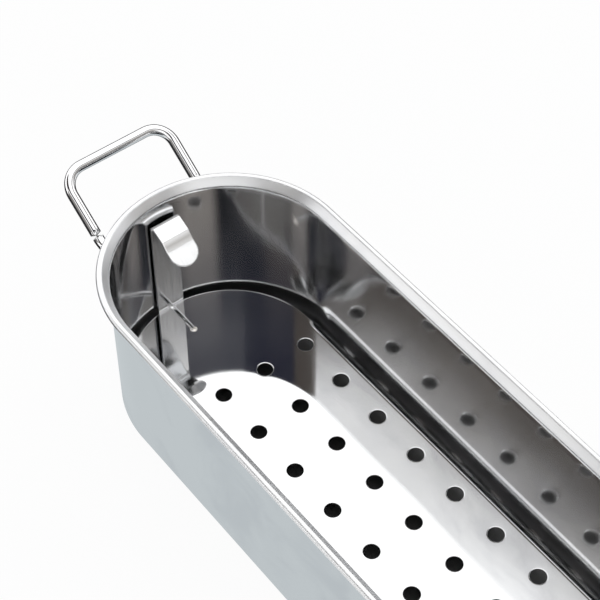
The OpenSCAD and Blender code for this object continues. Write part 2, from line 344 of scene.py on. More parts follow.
def sheet_solid(flat, quads, thick, edge, hold):
    """Gives a flat 2D grid a thickness and rounded edges. The grid's outline lies edge + hold inside the true
    one. Rings go out from its boundary along the mitred normal: a flat ring, then a quarter circle of radius
    edge at the top and one at the bottom."""
    flat, number = np.unique(np.round(flat, DECIMALS), axis=0, return_inverse=True)
    quads = number.ravel()[quads]
    start, end = quads.ravel(), np.roll(quads, -1, axis=1).ravel()
    keep = start != end
    start, end = start[keep], end[keep]
    count = len(flat)
    lone = ~np.isin(start * count + end, end * count + start)
    start, end = start[lone], end[lone]
    way = flat[end] - flat[start]
    normal = np.stack([way[:, 1], -way[:, 0]], 1) / np.linalg.norm(way, axis=1)[:, None]
    after, before = np.zeros_like(flat), np.zeros_like(flat)
    after[start] = normal
    before[end] = normal
    mitre = (after + before) / (1 + np.einsum("ij,ij->i", after, before))[:, None]
    border = np.unique(start)
    slot = np.full(count, -1)
    slot[border] = np.arange(len(border))
    turn = np.radians([0, 30, 60, 90])
    out = hold + edge * np.sin(turn)
    drop = edge * (1 - np.cos(turn))
    out, height = np.concatenate([out, out[::-1]]), np.concatenate([-drop, drop[::-1] - thick])
    rings = [
        np.column_stack([flat[border] + out[k] * mitre[border], np.full(len(border), height[k])])
        for k in range(len(out))
    ]
    top = np.column_stack([flat, np.zeros(count)])
    bottom = np.column_stack([flat, np.full(count, -thick)])
    points = np.concatenate([top, *rings, bottom])
    ring_start = count + len(border) * np.arange(len(out))
    last = count + len(border) * len(out)
    a, b = slot[start], slot[end]
    faces = [quads, np.column_stack([end, start, ring_start[0] + a, ring_start[0] + b])]
    for low, high in zip(ring_start[:-1], ring_start[1:]):
        faces.append(np.column_stack([low + b, low + a, high + a, high + b]))
    faces.append(np.column_stack([ring_start[-1] + b, ring_start[-1] + a, last + start, last + end]))
    faces.append(quads[:, ::-1] + last)
    return points, np.concatenate(faces)


def half_span(rows, inner, outer, shares):
    """Grid points (row, inner + (outer - inner) * share) on one side of the middle line, and their mirror
    image on the other side."""
    across = inner[:, None] + (outer - inner)[:, None] * shares[None, :]
    along = np.repeat(rows[:, None], len(shares), 1)
    side = np.stack([along.ravel(), across.ravel()], 1)
    quads = grid_faces(len(rows), len(shares))
    other = side * (1, -1)
    return np.concatenate([side, other]), np.concatenate([quads[:, ::-1], quads + len(side)])


# The oval pot


def round_oval(half, radius, arc_steps, run_steps):
    """Centre, outward direction and length once round a long oval: half circles about (half, 0) and
    (-half, 0), and the straight sides between them. The first point comes again at the end."""
    turn = np.linspace(-math.pi / 2, math.pi / 2, arc_steps + 1)
    along = np.linspace(half, -half, run_steps + 1)[1:-1]
    near = np.column_stack([np.full(arc_steps + 1, half), np.cos(turn), np.sin(turn)])
    left = np.column_stack([along, 0 * along, 0 * along + 1])
    ends = np.concatenate([near, left, near * -1, left * -1, near[:1]])
    centre = np.column_stack([ends[:, 0], 0 * ends[:, 0]])
    out = ends[:, 1:]
    spot = centre + radius * out
    run = np.concatenate([[0], np.cumsum(np.linalg.norm(np.diff(spot, axis=0), axis=1))])
    return centre, out, run


def carry_round(section, half, radius, arc_steps=96, run_steps=60, stray=None):
    """Carries a section of (radius, height) points round the oval: a point is centre + r * outward."""
    centre, out, run = round_oval(half, radius, arc_steps, run_steps)
    r = np.repeat(section[:, :1], len(run), 1)
    if stray is not None:
        r = r + stray(run[None, :], section[:, 1:])
    x = centre[None, :, 0] + r * out[None, :, 0]
    y = centre[None, :, 1] + r * out[None, :, 1]
    z = np.repeat(section[:, 1:], len(run), 1)
    rise = np.concatenate([[0], np.cumsum(np.linalg.norm(np.diff(section, axis=0), axis=1))])
    u, v = np.meshgrid(run, rise)
    points = np.stack([x, y, z], 2).reshape(-1, 3)
    return points, grid_faces(len(section), len(run)), np.stack([u, v], 2).reshape(-1, 2)


class POACHER_OT_wall(bpy.types.Operator):
    """Rolls the wall band with its flare and its curled bead."""

    bl_idname = "poacher.wall"
    bl_label = "Wall"

    def execute(self, context):
        pot = context.scene.poacher_pot
        thick = pot.wall_t
        mid_r = pot.outer_r - thick / 2
        curl_r = (pot.bead_d - thick) / 2
        bead_z = pot.height - pot.bead_d / 2
        sine, cosine = math.sin(pot.flare_angle), math.cos(pot.flare_angle)
        flare_run = (pot.bead_r - curl_r * cosine - mid_r - pot.flare_r * (1 - cosine)) / sine
        flare_z = bead_z + curl_r * sine - flare_run * cosine - pot.flare_r * sine
        tuck = 0.0005
        steps = [
            (tuck, math.pi / 2, pot.corner_r - thick),
            (flare_z - pot.corner_r, -pot.flare_angle, pot.flare_r - thick / 2),
            (flare_run, -pot.curl, curl_r - thick / 2),
        ]
        rows = bent_samples(steps, thick)
        start = (pot.outer_r - pot.corner_r - tuck, thick / 2)
        x, z, left_x, left_z = bent_line(steps, thick, start, rows)
        face = np.column_stack([x, z])
        left = thick / 2 * np.column_stack([left_x, left_z])
        section = np.concatenate([face + left, (face - left)[::-1], (face + left)[:1]])

        def stray(run, height):
            """Two waves round the wall, which swell and sink and fade out towards the floor and the flare."""
            fade = smooth(pot.corner_r, 0.3 * flare_z, height) * smooth(flare_z, 0.75 * flare_z, height)
            long_wave = np.sin(run / 0.0061 + 1.1)
            short_wave = 0.7 * np.sin(run / 0.0037 + 2.3 + height / 0.05)
            swell = 1 + 0.6 * np.sin(run / 0.041 + 0.4)
            return pot.ripple * fade * (long_wave + short_wave) * swell

        points, faces, uv = carry_round(section, pot.half, mid_r, arc_steps=180, run_steps=120, stray=stray)
        piece = make_piece("pot_wall", points, faces, uv)
        place(piece, "pot", "wall_steel", wall_material(), "wall_band")
        return {"FINISHED"}


class POACHER_OT_floor(bpy.types.Operator):
    """Lays the pot's flat floor, with a shallow pressed field underneath."""

    bl_idname = "poacher.floor"
    bl_label = "Floor"

    def execute(self, context):
        pot = context.scene.poacher_pot
        edge = pot.outer_r - pot.corner_r
        field, press, bevel, rows = edge - 0.003, 0.0003, 0.0001, 12
        top = np.column_stack([np.linspace(0, edge - bevel, rows), np.full(rows, pot.floor_t)])
        rim = np.array([[edge, 0.9 * pot.floor_t], [edge, 0.0]])
        under = np.array([[field + 0.001, 0], [field + 0.0004, 0.1 * press], [field - 0.0006, 0.9 * press],
                          [field - 0.0012, press], [0.5 * field, press], [0, press]])
        section = np.concatenate([top, rim, under])
        points, faces, uv = carry_round(section, pot.half, pot.outer_r)
        piece = make_piece("pot_floor", points, faces, uv)
        place(piece, "pot", "floor_steel", floor_material(), "floor_sheet")
        return {"FINISHED"}


# The rod handles


def wall_face(pot, y):
    """X of the outside of the near end's wall at a distance y from the middle."""
    return pot.half + np.sqrt(pot.outer_r**2 - y**2)


def arc_path(centre, away, way, radius, turn, count):
    """Points centre + radius * (cos t * away + sin t * way) of an arc, and its direction at each."""
    t = np.linspace(0, turn, count + 1)[:, None]
    spot = centre + radius * (np.cos(t) * away + np.sin(t) * way)
    return spot, np.cos(t) * way - np.sin(t) * away


def rod_grid(path, heading, up, radius, sides):
    """Grid and uv of a round rod: its points are path + r * (cos a * up + sin a * heading x up)."""
    turn = np.linspace(0, 2 * math.pi, sides + 1)
    across = np.cross(heading, up)
    ring = np.cos(turn)[None, :, None] * up[:, None, :] + np.sin(turn)[None, :, None] * across[:, None, :]
    body = path[:, None, :] + radius * ring
    run = np.concatenate([[0], np.cumsum(np.linalg.norm(np.diff(path, axis=0), axis=1))])
    u, v = np.meshgrid(run, turn * radius, indexing="ij")
    return body, np.stack([u, v], 2)


def each(vector, path):
    """The same vector once for every point of a path."""
    return np.tile(vector, (len(path), 1))


class POACHER_OT_handles(bpy.types.Operator):
    """Bends the two rod handles and lays a weld round each of their roots."""

    bl_idname = "poacher.handles"
    bl_label = "Handles"

    def execute(self, context):
        pot, rod = context.scene.poacher_pot, context.scene.poacher_handles
        grid, uv = self.rod(pot, rod)
        faces = grid_faces(*grid.shape[:2])
        for name, node, side in (("near_rod", "near_handle", 1), ("far_rod", "far_handle", -1)):
            points = grid.reshape(-1, 3) * (side, 1, 1)
            piece = make_piece(name, points, faces, uv.reshape(-1, 2))
            place(piece, "pot", "rod_steel", rod_material(), node)
        welds = [self.weld(pot, rod, x, y) for x in (1, -1) for y in (1, -1)]
        piece = make_piece("rod_welds", *join_grids(welds))
        place(piece, "pot", "weld_steel", weld_material(), "handle_welds")
        return {"FINISHED"}

    def rod(self, pot, rod):
        """The rod's path: level end, knee, leg, corner, crossbar, and the first four mirrored in Y. Both ends
        follow the wall, are sunk into it a little, and close at their middle."""
        level = np.array([1.0, 0, 0])
        leg_way = np.array([math.cos(rod.tilt), 0, math.sin(rod.tilt)])
        leg_up = np.array([-math.sin(rod.tilt), 0, math.cos(rod.tilt)])
        up, across = np.array([0, 0, 1.0]), np.array([0, -1.0, 0])
        end_x = pot.half + pot.outer_r
        knee = np.array([end_x + rod.knee_reach, rod.width / 2, pot.height - rod.drop])
        corner = knee + (rod.reach - rod.knee_reach) / math.cos(rod.tilt) * leg_way
        cut = rod.knee_r * math.tan(rod.tilt / 2)
        root = np.array([wall_face(pot, rod.width / 2), rod.width / 2, knee[2]])
        centre = knee - cut * level + rod.knee_r * up
        knee_path, knee_way = arc_path(centre, -up, level, rod.knee_r, rod.tilt, count=12)
        centre = corner - rod.corner_r * leg_way + rod.corner_r * across
        bend_path, bend_way = arc_path(centre, -across, leg_way, rod.corner_r, math.pi / 2, count=24)
        level_run = np.linspace(root, knee_path[0], 6)[:-1]
        leg_run = np.linspace(knee_path[-1], bend_path[0], 12)[1:-1]
        half = np.concatenate([level_run, knee_path, leg_run, bend_path])
        way = np.concatenate([each(level, level_run), knee_way, each(leg_way, leg_run), bend_way])
        knee_up = np.cross(knee_way, [0, 1, 0]) * -1
        leg_ups = each(leg_up, [*leg_run, *bend_path])
        half_up = np.concatenate([each(up, level_run), knee_up, leg_ups])
        bar = np.linspace(half[-1], half[-1] * (1, -1, 1), 14)[1:-1]
        path = np.concatenate([half, bar, half[::-1] * (1, -1, 1)])
        way = np.concatenate([way, each(across, bar), way[::-1] * (-1, 1, -1)])
        up_all = np.concatenate([half_up, each(leg_up, bar), half_up[::-1]])
        sides = 40
        grid, uv = rod_grid(path, way, up_all, rod.rod_d / 2, sides)
        sunk = 0.0003
        for row in (0, -1):
            grid[row, :, 0] = wall_face(pot, grid[row, :, 1]) - sunk
        caps = np.stack([np.repeat(grid[row].mean(0)[None], grid.shape[1], 0) for row in (0, -1)])
        grid = np.concatenate([caps[:1], grid, caps[1:]])
        uv = np.concatenate([uv[:1], uv, uv[-1:]])
        return grid, uv

    def weld(self, pot, rod, x_side, y_side):
        """A ring of weld: its height over the wall falls as (1 - q)^1.4 from the rod outward, with small
        beads. It bites into the rod and the wall, and closes under the wall's face."""
        bite, root = 0.0002, 0.0003
        rings, sides = 8, 72
        q = np.linspace(0, 1, rings + 1)
        rise = rod.weld_rise * (1 - q) ** 1.4
        rise[-1] = -bite
        out = np.concatenate([q, [1, 0, 0]])
        rise = np.concatenate([rise, [-root, -root, rod.weld_rise]])
        turn = np.linspace(0, 2 * math.pi, sides + 1)
        phase = 1.7 * x_side + 2.9 * y_side
        bead = 1 + 0.10 * np.sin(11 * turn + phase) + 0.07 * np.sin(4 * turn + 2 * phase)
        radius = rod.rod_d / 2 - bite + (rod.weld_spread + bite) * out[:, None] * (0.92 * bead)[None, :]
        y = rod.width / 2 + radius * np.cos(turn)
        z = pot.height - rod.drop + radius * np.sin(turn)
        lift = np.maximum(rise, 0)[:, None] * (0.9 * bead)[None, :] + np.minimum(rise, 0)[:, None]
        x = wall_face(pot, y) + lift
        points = np.stack([x * x_side, y * y_side, z], 2).reshape(-1, 3)
        faces = grid_faces(*x.shape)
        if signed_volume(points, faces) < 0:
            faces = faces[:, ::-1]
        u, v = np.meshgrid(turn * rod.rod_d, out * rod.weld_spread)
        return points, faces, np.stack([u, v], 2).reshape(-1, 2)


# The rack


# Quads along a side of the grid round a hole, out from the hole, across the edge strip, and along a round end
CELL_STEPS = 12
RING_STEPS = 8
RIM_STEPS = 16
END_STEPS = 43
# The edge strip starts at this share of the plate's half width
RIM_SHARE = 0.93


def round_from(rack):
    """From the middle to where the long sides start to round off towards the flat end, as wide as a tab."""
    return rack.plate_end - math.sqrt(rack.plate_r**2 - TAB_TOP.y**2)


def edge_y(rack, inset, x):
    """Half the plate's width at x, less the inset: level on the straight part, then a circle."""
    return np.sqrt((rack.plate_r - inset) ** 2 - np.maximum(np.abs(x) - round_from(rack), 0) ** 2)


def hole_places(rack):
    """X of the rows of holes and Y of their columns."""
    return tuple(
        (np.arange(count) - (count - 1) / 2) * pitch
        for count, pitch in ((rack.rows, rack.pitch_x), (rack.columns, rack.pitch_y))
    )


def hole_cells(rack, inset):
    """A square ring of quads round each hole, and the middles of the holes. Rings lie between the circle and
    the square as q^1.5, and the outer columns' squares reach out to the edge strip."""
    hole_x, hole_y = hole_places(rack)
    cx, cy = (v.ravel()[:, None] for v in np.meshgrid(hole_x, hole_y, indexing="ij"))
    t = np.arange(CELL_STEPS) / CELL_STEPS
    one = np.ones(CELL_STEPS)
    side = np.concatenate([2 * t - 1, one, 1 - 2 * t, -one])
    rise = np.concatenate([-one, 2 * t - 1, one, 1 - 2 * t])
    bx = cx + side[None, :] * rack.pitch_x / 2
    strip_y = RIM_SHARE * edge_y(rack, inset, bx)
    high = np.where(cy > hole_y[-1] - MERGE_GAP, strip_y, cy + rack.pitch_y / 2)
    low = np.where(cy < hole_y[0] + MERGE_GAP, -strip_y, cy - rack.pitch_y / 2)
    by = low + (high - low) * (rise[None, :] + 1) / 2
    turn = math.radians(225) + 2 * math.pi * np.arange(4 * CELL_STEPS) / (4 * CELL_STEPS)
    hole_r = rack.hole_d / 2 + inset
    hx = cx + hole_r * np.cos(turn)
    hy = cy + hole_r * np.sin(turn)
    rings = np.linspace(0, 1, RING_STEPS + 1)[None, :, None] ** 1.5
    x = hx[:, None] + (bx - hx)[:, None] * rings
    y = hy[:, None] + (by - hy)[:, None] * rings
    x = np.concatenate([x, x[:, :, :1]], 2)
    y = np.concatenate([y, y[:, :, :1]], 2)
    cell = grid_faces(x.shape[1], x.shape[2])[:, ::-1]
    cells = np.concatenate([cell + k * x.shape[1] * x.shape[2] for k in range(len(cx))])
    return np.stack([x, y], 3).reshape(-1, 2), cells, np.stack([cx.ravel(), cy.ravel()], 1)


def rim_strips(rack, inset):
    """The finer strips along both long edges, with the same steps along as the cells beside them."""
    hole_x = hole_places(rack)[0]
    t = np.arange(CELL_STEPS) / CELL_STEPS
    x = np.concatenate([centre + (2 * t - 1) * rack.pitch_x / 2 for centre in hole_x])
    x = np.append(x, hole_x[-1] + rack.pitch_x / 2)
    width = edge_y(rack, inset, x)
    return half_span(x, RIM_SHARE * width, width, np.linspace(0, 1, RIM_STEPS + 1))


def end_grid(rack, inset):
    """The near end from the last holes' cells to the flat end, on both sides of the slit. Its columns meet
    those of the cells and of the edge strips."""
    plate_r, half, end = rack.plate_r - inset, round_from(rack), rack.plate_end - inset
    block = rack.rows / 2 * rack.pitch_x
    first, last = math.asin((block - half) / plate_r), math.asin((end - half) / plate_r)
    slit_r = rack.slit_width / 2 + inset
    slit_x = rack.plate_end - rack.slit_length + rack.slit_width / 2
    ticks = np.radians(np.linspace(0, 90, 9))
    arc = half + plate_r * np.sin(np.linspace(first, last, END_STEPS + 1))
    rows = np.unique(np.round(np.concatenate([arc, slit_x - slit_r * np.cos(ticks)]), DECIMALS))
    rows[0], rows[-1] = block, end
    inner = np.sqrt(np.maximum(slit_r**2 - np.minimum(rows - slit_x, 0) ** 2, 0))
    outer = np.sqrt(plate_r**2 - np.maximum(rows - half, 0) ** 2)
    widest = edge_y(rack, inset, np.array(block))
    lines = [k * rack.pitch_y for k in range(rack.columns // 2)] + [RIM_SHARE * widest]
    cuts = [np.linspace(low, high, CELL_STEPS + 1)[:-1] for low, high in zip(lines[:-1], lines[1:])]
    cuts.append(np.linspace(RIM_SHARE * widest, widest, RIM_STEPS + 1))
    return half_span(rows, inner, outer, np.concatenate(cuts) / widest)


def plate_grid(rack, inset):
    """The plate's 2D grid, inset from the true outline, and the middles of its holes."""
    cell_points, cells, holes = hole_cells(rack, inset)
    near, near_faces = end_grid(rack, inset)
    rim, rim_faces = rim_strips(rack, inset)
    start = len(cell_points)
    quads = np.concatenate([
        cells,
        near_faces + start,
        near_faces[:, ::-1] + start + len(near),
        rim_faces + start + 2 * len(near),
    ])
    return np.concatenate([cell_points, near, near * (-1, 1), rim]), quads, holes


def fold_edges(rack, points):
    """Bends the long edges of a flat plate down. From the line where the bend starts, a point's way outward
    is stretched to the length of the bent edge. Its heading h turns evenly by up to 90 degrees along the bend
    and then stays, and the place is the integral of (cos h, -sin h). The turn fades to 0 towards the round
    ends."""
    half = round_from(rack)
    line = rack.plate_r - rack.plate_t - rack.edge_bend
    mid_r = rack.edge_bend + rack.plate_t / 2
    arc = mid_r * math.pi / 2
    drop = rack.edge_depth - rack.plate_t - rack.edge_bend
    past = np.abs(points[:, 1]) - line
    part = smooth(half, half - rack.edge_fade, np.abs(points[:, 0]))
    flat = rack.plate_r - line
    run = np.where(past > 0, past * (1 + part * ((arc + drop) / flat - 1)), 0)
    turn = part * math.pi / 2
    steps = 64
    s = np.linspace(0, 1, steps + 1)[None, :] * run[:, None]
    heading = turn[:, None] * np.minimum(s / arc, 1)
    step = run / steps
    cosine, sine = np.cos(heading), np.sin(heading)
    out = step * (cosine[:, 1:] + cosine[:, :-1]).sum(1) / 2
    down = step * (sine[:, 1:] + sine[:, :-1]).sum(1) / 2
    last = heading[:, -1]
    lift = points[:, 2] + rack.plate_t / 2
    folded = points.copy()
    moved = past > 0
    y = line + out + lift * np.sin(last)
    folded[moved, 1] = (np.sign(points[:, 1]) * y)[moved]
    folded[moved, 2] = (-rack.plate_t / 2 - down + lift * np.cos(last))[moved]
    return folded


class POACHER_OT_plate(bpy.types.Operator):
    """Punches the rack's plate, with rounded edges, a slight rollover at each hole and a slight wave."""

    bl_idname = "poacher.plate"
    bl_label = "Rack plate"

    def execute(self, context):
        rack = context.scene.poacher_rack
        edge, hold = rack.edge, 0.0004
        flat, quads, holes = plate_grid(rack, edge + hold)
        points, faces = sheet_solid(flat, quads, rack.plate_t, edge, hold)
        x, y = points[:, 0], points[:, 1]
        away = np.full(len(points), np.inf)
        for hole in holes:
            away = np.minimum(away, np.hypot(x - hole[0], y - hole[1]))
        rim = away - rack.hole_d / 2
        roll_reach = 0.0022
        roll = -rack.sag * np.exp(-rim / roll_reach)
        wave = np.sin(x / 0.0113 + 0.8) * np.cos(y / 0.0151 + 0.3) + 0.6 * np.sin((x + 1.4 * y) / 0.0177)
        flat_uv = points[:, :2].copy()
        points = fold_edges(rack, points)
        points[:, 2] += rack.plate_z + roll + rack.wave * (0.5 * wave - 0.8)
        piece = make_piece("perforated_plate", points, faces, flat_uv)
        place(piece, "rack", "rack_steel", plate_material(), "rack_plate")
        return {"FINISHED"}


def strip(length, width, steps, thick, start, edge, run_step=RUN_STEP, round_end=False, slot=None):
    """A bent strip: a flat 2D grid of length and width, thickened, then laid along the mid-line of its bends.
    A flat point (s, y, t) goes to the mid-line's point at s, plus t along its left normal, at y across. slot
    gives the two ends and the width of a slot along the strip's middle."""
    hold = 0.0003
    inset = edge + hold
    half = width / 2 - inset
    ticks = np.radians(np.linspace(0, 90, 13))
    rows = [bent_samples(steps, thick, run_step)]
    if round_end:
        rows.append(length - width / 2 + half * np.sin(ticks))
    if slot is not None:
        slot_r = slot[2] / 2 + inset
        slot_low, slot_high = slot[0] + slot[2] / 2, slot[1] - slot[2] / 2
        rows.append(slot_low - slot_r * np.cos(ticks))
        rows.append(slot_high + slot_r * np.cos(ticks))
    rows = np.concatenate(rows)
    low, high = inset, length - inset
    rows = np.concatenate([rows[(rows > low) & (rows < high)], [low, high]])
    rows = np.unique(np.round(rows, DECIMALS))
    outer = np.full(len(rows), half)
    if round_end:
        outer = np.sqrt(np.maximum(half**2 - np.maximum(rows - (length - width / 2), 0) ** 2, 0))
    inner = np.zeros(len(rows))
    if slot is not None:
        past = np.maximum(slot_low - rows, rows - slot_high)
        inner = np.sqrt(np.maximum(slot_r**2 - np.maximum(past, 0) ** 2, 0))
    across = 6
    flat, quads = half_span(rows, inner, outer, np.linspace(0, 1, across + 1))
    points, faces = sheet_solid(flat, quads, thick, edge, hold)
    s = np.clip(points[:, 0], 0, length)
    x, z, left_x, left_z = bent_line(steps, thick, start, s)
    out = points[:, 2] + thick / 2
    uv = points[:, :2].copy()
    points = np.column_stack([x + out * left_x, points[:, 1], z + out * left_z])
    if signed_volume(points, faces) < 0:
        faces = faces[:, ::-1]
    return points, faces, uv


class POACHER_OT_tabs(bpy.types.Operator):
    """Bends the two lifting tabs: slotted foot, riser, and a lip of three flats with a round end."""

    bl_idname = "poacher.tabs"
    bl_label = "Lifting tabs"

    def execute(self, context):
        rack, tab = context.scene.poacher_rack, context.scene.poacher_tabs
        plate_low = rack.plate_z - rack.plate_t
        riser = TAB_TOP.z - TAB_LOW.z - 2 * tab.thick - tab.bend - tab.lip_bend
        crease = tab.slope_middle - tab.slope_first
        # What a flat gains because its crease is sharper than the bend over the foot
        gain = (tab.bend - tab.crease) * math.tan(crease / 2)
        steps = [
            (tab.foot, math.pi / 2, tab.bend),
            (riser, math.pi / 2 + tab.slope_first, tab.lip_bend),
            (tab.first + gain, crease, tab.crease),
            (tab.middle + gain, tab.slope_last - tab.slope_middle, tab.crease),
            (tab.last + tab.width / 2, 0, 0),
        ]
        length = bent_knots(steps, tab.thick)[0][-1]
        start_x = rack.plate_end + tab.gap - tab.bend - tab.foot
        slot = (
            rack.plate_end - rack.slit_length - start_x,
            rack.plate_end - 2 * tab.bend - start_x,
            rack.slit_width,
        )
        start = (start_x, plate_low - tab.thick / 2)
        points, faces, uv = strip(
            length, tab.width, steps, tab.thick, start, edge=0.0003, round_end=True, slot=slot
        )
        for name, node, side in (("near_lifting_tab", "near_tab", 1), ("far_lifting_tab", "far_tab", -1)):
            piece = make_piece(name, points * (side, 1, 1), faces, uv)
            place(piece, "rack", "tab_steel", tab_material(), node)
        return {"FINISHED"}


class POACHER_OT_tab_welds(bpy.types.Operator):
    """Sets the round weld at the inner end of each slit: a flat dome, cut back where it meets the slit."""

    bl_idname = "poacher.tab_welds"
    bl_label = "Tab welds"

    def execute(self, context):
        rack, tab = context.scene.poacher_rack, context.scene.poacher_tabs
        centre = rack.plate_end - rack.slit_length - tab.button_out
        sides, rings = 96, 12
        turn = np.linspace(0, 2 * math.pi, sides + 1)
        reach = tab.button_d / 2 * (1 + 0.02 * np.sin(3 * turn + 0.6) + 0.015 * np.sin(5 * turn))
        clear, sunk = 0.0001, 0.0003
        slit_r = rack.slit_width / 2 + clear
        ahead = tab.button_out + rack.slit_width / 2
        inside = slit_r**2 - (ahead * np.sin(turn)) ** 2
        cut = ahead * np.cos(turn) - np.sqrt(np.maximum(inside, 0))
        reach = np.where((inside > 0) & (np.cos(turn) > 0), np.minimum(reach, cut), reach)
        ticks = np.radians(np.linspace(0, 90, rings))
        q = np.concatenate([np.sin(ticks), [1, 0]])
        dome = np.concatenate([np.cos(ticks), [0, 0]])
        height = tab.button_rise * dome[:, None] * (1 + 0.05 * q[:, None] * np.sin(2 * turn)[None, :])
        height[-2:] = -sunk
        radius = q[:, None] * reach[None, :]
        x, y = centre + radius * np.cos(turn), radius * np.sin(turn)
        faces = grid_faces(*x.shape)
        parts = []
        for side in (1, -1):
            points = np.stack([x * side, y, rack.plate_z + height], 2).reshape(-1, 3)
            turned = faces if signed_volume(points, faces) > 0 else faces[:, ::-1]
            parts.append((points, turned, points[:, :2]))
        piece = make_piece("tab_buttons", *join_grids(parts))
        place(piece, "rack", "weld_steel", weld_material(), "tab_welds")
        return {"FINISHED"}


class POACHER_OT_feet(bpy.types.Operator):
    """Bends the four short feet under the plate."""

    bl_idname = "poacher.feet"
    bl_label = "Feet"

    def execute(self, context):
        rack = context.scene.poacher_rack
        thick, bend = rack.foot_t, rack.foot_bend
        flat = FOOT_TOP.x - FOOT_LOW.x - thick - bend
        drop = FOOT_TOP.z - FOOT_LOW.z - 2 * (thick + bend)
        steps = [(flat, math.pi / 2, bend), (drop, math.pi / 2, bend), (flat, 0, 0)]
        length = bent_knots(steps, thick)[0][-1]
        start = (FOOT_LOW.x, FOOT_LOW.z + thick / 2)
        width = FOOT_TOP.y - FOOT_LOW.y
        points, faces, uv = strip(length, width, steps, thick, start, edge=0.0002, run_step=0.002)
        points = points + (0, (FOOT_TOP.y + FOOT_LOW.y) / 2, 0)
        for end, x_side in (("near", 1), ("far", -1)):
            for hand, y_side in (("right", 1), ("left", -1)):
                piece = make_piece(f"{end}_{hand}_leg", points * (x_side, y_side, 1), faces, uv)
                place(piece, "rack", "rack_steel", tab_material(), f"{end}_{hand}_foot")
        return {"FINISHED"}


# Shader groups that several finishes share


def group(name, inputs, outputs):
    """A new shader group with named sockets, and its input and output nodes."""
    tree = bpy.data.node_groups.new(name, "ShaderNodeTree")
    for label, kind, value in inputs:
        socket = tree.interface.new_socket(label, in_out="INPUT", socket_type=kind)
        if value is not None:
            socket.default_value = value
    for label, kind in outputs:
        tree.interface.new_socket(label, in_out="OUTPUT", socket_type=kind)
    return tree, tree.nodes.new("NodeGroupInput"), tree.nodes.new("NodeGroupOutput")


def put(tree, kind, inputs=None, **settings):
    """A node with settings and with inputs given by name or number: a value, or an output to link."""
    made = tree.nodes.new(kind)
    for key, value in settings.items():
        setattr(made, key, value)
    for key, value in (inputs or {}).items():
        if isinstance(value, bpy.types.NodeSocket):
            tree.links.new(value, made.inputs[key])
        else:
            made.inputs[key].default_value = value
    return made


def span(tree, value, low, high, to_low=0.0, to_high=1.0, kind="LINEAR"):
    """Maps a value from low..high to to_low..to_high, clamped."""
    inputs = {"Value": value, "From Min": low, "From Max": high, "To Min": to_low, "To Max": to_high}
    return put(tree, "ShaderNodeMapRange", inputs, interpolation_type=kind, clamp=True).outputs[0]


def blend(tree, factor, low, high):
    """A colour that goes from low at factor 0 to high at factor 1. Each is three numbers or an output."""
    low, high = (side if isinstance(side, bpy.types.NodeSocket) else (*side, 1) for side in (low, high))
    return put(tree, "ShaderNodeMix", {0: factor, 6: low, 7: high}, data_type="RGBA").outputs[2]


def sums(tree, kind, first, second):
    """The result of a sum of the given kind on two values."""
    return put(tree, "ShaderNodeMath", {0: first, 1: second}, operation=kind).outputs[0]


def vectors(tree, kind, first, second=(0, 0, 0), output=0):
    """The result of a sum of the given kind on two vectors."""
    return put(tree, "ShaderNodeVectorMath", {0: first, 1: second}, operation=kind).outputs[output]


def product(tree, first, *others):
    """All the values multiplied."""
    for other in others:
        first = sums(tree, "MULTIPLY", first, other)
    return first


def masks(tree, *limits):
    """The product of masks, one for each (value, where it is 0, where it is 1)."""
    return product(tree, *(span(tree, *limit) for limit in limits))


def polish_lines():
    """Fine parallel lines: noise on coordinates that Along scales, most across the lines."""
    name = "polish_lines"
    if name in bpy.data.node_groups:
        return bpy.data.node_groups[name]
    tree, start, end = group(
        name,
        [("Vector", "NodeSocketVector", None), ("Along", "NodeSocketVector", (1, 1, 1))],
        [("Lines", "NodeSocketFloat")],
    )
    scaled = vectors(tree, "MULTIPLY", start.outputs["Vector"], start.outputs["Along"])
    noise = put(tree, "ShaderNodeTexNoise", {"Vector": scaled, "Scale": 1.0, "Detail": 3.0, "Roughness": 0.7})
    tree.links.new(noise.outputs[0], end.inputs["Lines"])
    return tree


def wiped_film():
    """Soft uneven patches, as a cloth leaves them on polished steel."""
    name = "wiped_film"
    if name in bpy.data.node_groups:
        return bpy.data.node_groups[name]
    tree, start, end = group(
        name,
        [("Vector", "NodeSocketVector", None), ("Scale", "NodeSocketFloat", 20.0),
         ("Low", "NodeSocketFloat", 0.4), ("High", "NodeSocketFloat", 0.7)],
        [("Mask", "NodeSocketFloat")],
    )
    noise = put(tree, "ShaderNodeTexNoise", {
        "Vector": start.outputs["Vector"], "Scale": start.outputs["Scale"],
        "Detail": 4.0, "Roughness": 0.55, "Distortion": 0.6,
    })
    mask = span(tree, noise.outputs[0], start.outputs["Low"], start.outputs["High"], kind="SMOOTHSTEP")
    tree.links.new(mask, end.inputs["Mask"])
    return tree


def use(tree, made, **inputs):
    """Places a shader group with its own values."""
    return put(tree, "ShaderNodeGroup", inputs, node_tree=made)


# The fine lines' noise from its faintest to its strongest
LINE_NOISE = (0.35, 0.65)


